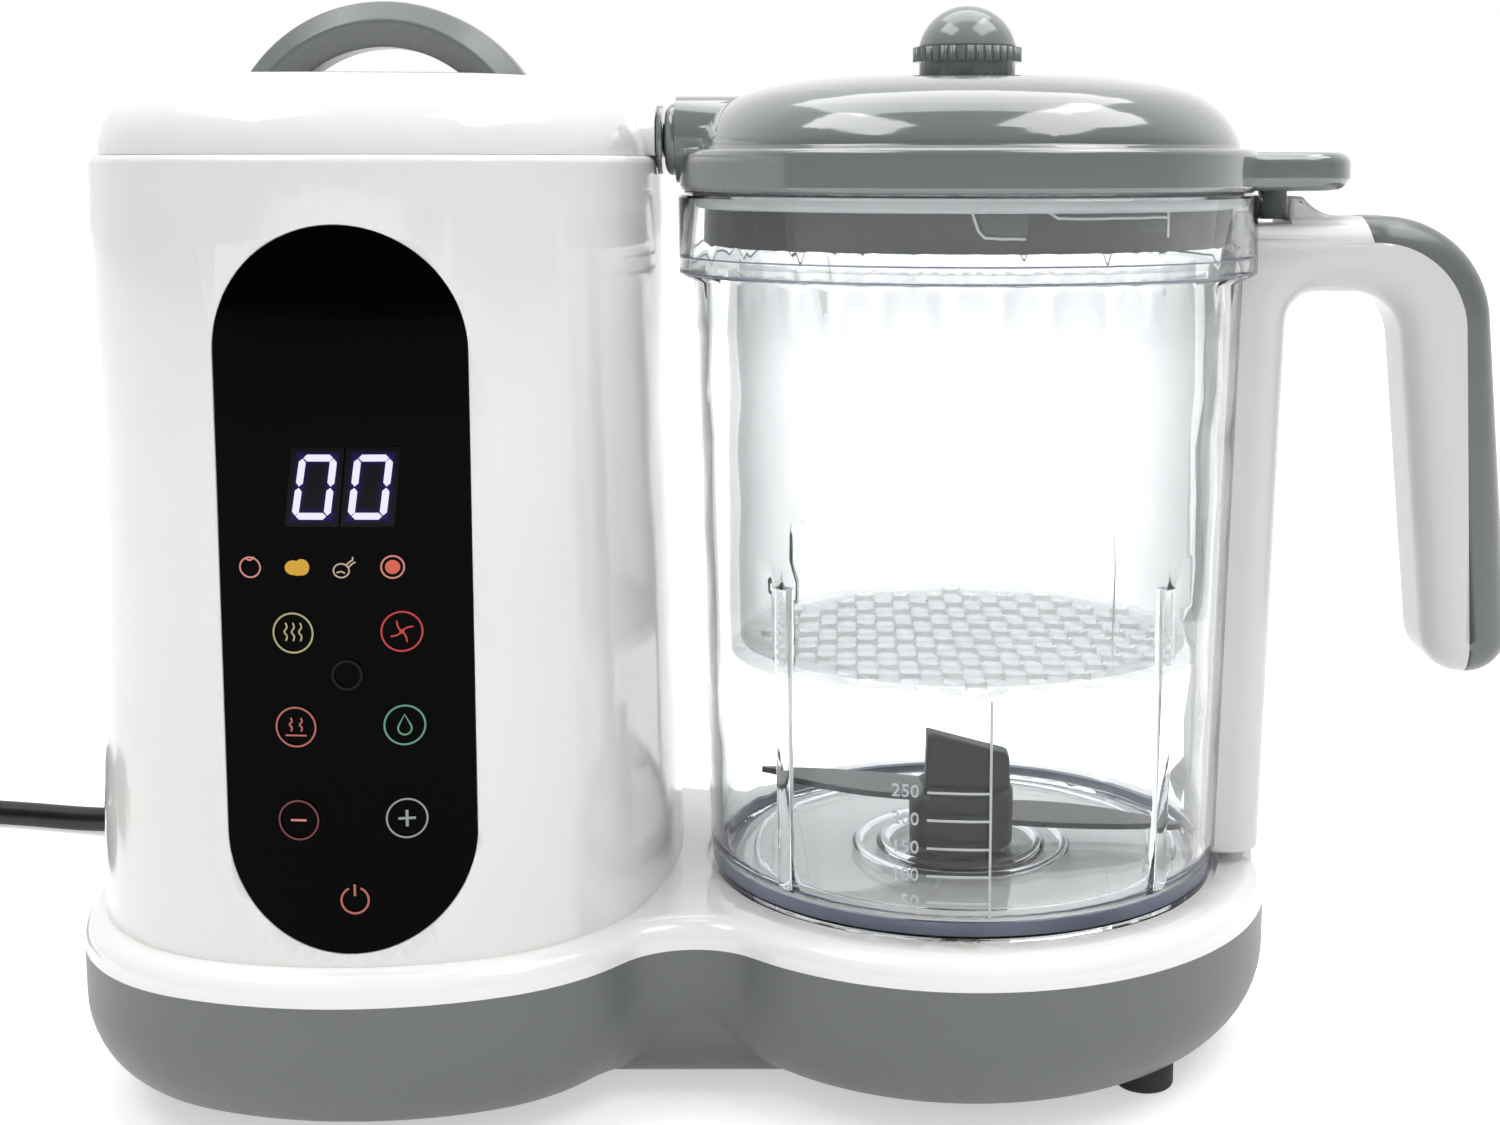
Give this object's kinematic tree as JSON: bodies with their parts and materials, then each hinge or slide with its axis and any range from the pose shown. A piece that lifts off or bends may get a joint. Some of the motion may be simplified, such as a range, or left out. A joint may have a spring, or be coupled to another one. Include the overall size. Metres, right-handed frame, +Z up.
{
  "type": "baby food steamer blender",
  "caption": "Countertop baby food maker: a tower with water tank, boiler, motor and touch panel beside a clear jug with handle, blade, steaming basket and vented lid, on one two-lobed base",
  "frame": {"origin": "centre of the object's bounding box on the surface that it stands on, the mains lead, its coil and its plug not counted", "axes": "+X from the tower to the jug and its handle, +Y to the back, so that the control panel faces -Y, +Z up"},
  "size_m": [0.4545, 0.1988, 0.2112],
  "materials": {
    "white_plastic": "glossy moulded white",
    "clear_plastic": "clear moulded, polished",
    "frosted_plastic": "clear moulded, slightly milky",
    "grey_plastic": "satin moulded grey",
    "dark_grey_plastic": "satin moulded darker grey",
    "hub_plastic": "satin moulded charcoal",
    "black_panel": "polished black behind a clear face",
    "black_plastic": "fine grained black",
    "rubber": "moulded rubber",
    "silicone": "soft translucent silicone",
    "steel": "ground stainless steel",
    "zinc_steel": "zinc plated",
    "cast_aluminium": "as cast",
    "brass": "bright brass",
    "copper": "enamelled winding wire over steel",
    "circuit_board": "green solder mask",
    "display": "dark filter over lit segments",
    "white_acetal": "plain moulded acetal",
    "lead_sheath": "smooth flexible sheath"
  },
  "bodies": {
    "base": {"rubber_feet": "rubber", "base_lower_shell": "dark_grey_plastic", "base_deck": "white_plastic", "base_screws": "zinc_steel", "power_board": "circuit_board", "safety_switch": "black_plastic", "drive_bushes": "brass", "drive_belt": "rubber", "motor_bracket": "zinc_steel", "motor_can": "zinc_steel", "motor_field": "zinc_steel", "motor_bushes": "brass", "boiler": "cast_aluminium", "boiler_heater": "steel", "water_pump": "white_acetal", "feed_hose": "silicone", "tank_hose": "silicone", "steam_pipe": "silicone", "steam_nozzle": "grey_plastic", "tower_shell": "white_plastic", "control_panel": "black_panel", "control_board": "circuit_board", "display_module": "display", "tank_bay": "white_plastic", "tank_dock": "white_acetal", "cord_gland": "rubber", "mains_lead": "lead_sheath", "mains_lead_coil": "lead_sheath", "plug_body": "black_plastic", "plug_pins": "brass"},
    "rotor": {"motor_armature": "copper", "motor_fan": "black_plastic", "motor_pulley": "brass"},
    "drive": {"driven_pulley": "black_plastic", "drive_shaft": "steel", "drive_coupler": "black_plastic"},
    "switch_pin": {"switch_pin": "white_acetal"},
    "jug": {"jug_vessel": "clear_plastic", "handle_frame": "white_plastic", "handle_cover": "dark_grey_plastic", "handle_screws": "steel", "spindle_bush": "brass", "spindle_seal": "silicone"},
    "spindle": {"blade_spindle": "steel", "driven_coupler": "black_plastic"},
    "blade": {"blade_hub": "hub_plastic", "upper_blade": "steel", "lower_blade": "steel"},
    "basket": {"steam_basket": "frosted_plastic"},
    "lid_seal": {"lid_seal": "silicone"},
    "lid": {"lid_shell": "grey_plastic", "lid_inlet_ring": "grey_plastic"},
    "vent_knob": {"vent_knob_ring": "grey_plastic", "vent_knob_ball": "grey_plastic"},
    "water_tank": {"water_tank": "clear_plastic", "tank_valve": "silicone"},
    "tank_lid": {"tank_lid": "white_plastic", "arch_handle": "dark_grey_plastic"}
  },
  "joints": [
    {"name": "motor_spin", "type": "hinge", "parent": "base", "child": "rotor", "pos_m": [-0.06874, 0, 0.08], "axis": [0, 0, 1], "continuous": true},
    {"name": "drive_spin", "type": "hinge", "parent": "base", "child": "drive", "pos_m": [0.03276, 0, 0.02], "axis": [0, 0, 1], "continuous": true},
    {"name": "switch_pin_rise", "type": "slide", "parent": "base", "child": "switch_pin", "axis": [0, 0, 1], "range_m": [0, 0.0016]},
    {"name": "jug_lift", "type": "slide", "parent": "base", "child": "jug", "axis": [0, 0, 1], "range_m": [0, 0.08]},
    {"name": "spindle_spin", "type": "hinge", "parent": "jug", "child": "spindle", "pos_m": [0.03276, 0, 0.04], "axis": [0, 0, 1], "continuous": true},
    {"name": "blade_lift", "type": "slide", "parent": "spindle", "child": "blade", "axis": [0, 0, 1], "range_m": [0, 0.03]},
    {"name": "basket_lift", "type": "slide", "parent": "jug", "child": "basket", "axis": [0, 0, 1], "range_m": [0, 0.06]},
    {"name": "lid_lift", "type": "slide", "parent": "jug", "child": "lid_seal", "axis": [0, 0, 1], "range_m": [0, 0.09]},
    {"name": "lid_twist", "type": "hinge", "parent": "lid_seal", "child": "lid", "pos_m": [0.03276, 0, 0.175], "axis": [0, 0, 1], "range_deg": [0, 30]},
    {"name": "vent_twist", "type": "hinge", "parent": "lid", "child": "vent_knob", "pos_m": [0.03276, 0, 0.2], "axis": [0, 0, 1], "range_deg": [0, 90]},
    {"name": "tank_lift", "type": "slide", "parent": "base", "child": "water_tank", "axis": [0, 0, 1], "range_m": [0, 0.1]},
    {"name": "tank_lid_lift", "type": "slide", "parent": "water_tank", "child": "tank_lid", "axis": [0, 0, 1], "range_m": [0, 0.05]}
  ],
  "couplings": [
    {"joint": "drive_spin", "follows": "motor_spin", "ratio": 0.25},
    {"joint": "spindle_spin", "follows": "motor_spin", "ratio": 0.25},
    {"joint": "switch_pin_rise", "follows": "jug_lift", "ratio": 0.02},
    {"joint": "basket_lift", "follows": "lid_lift", "ratio": 0.6666},
    {"joint": "blade_lift", "follows": "lid_lift", "ratio": 0.3333}
  ]
}
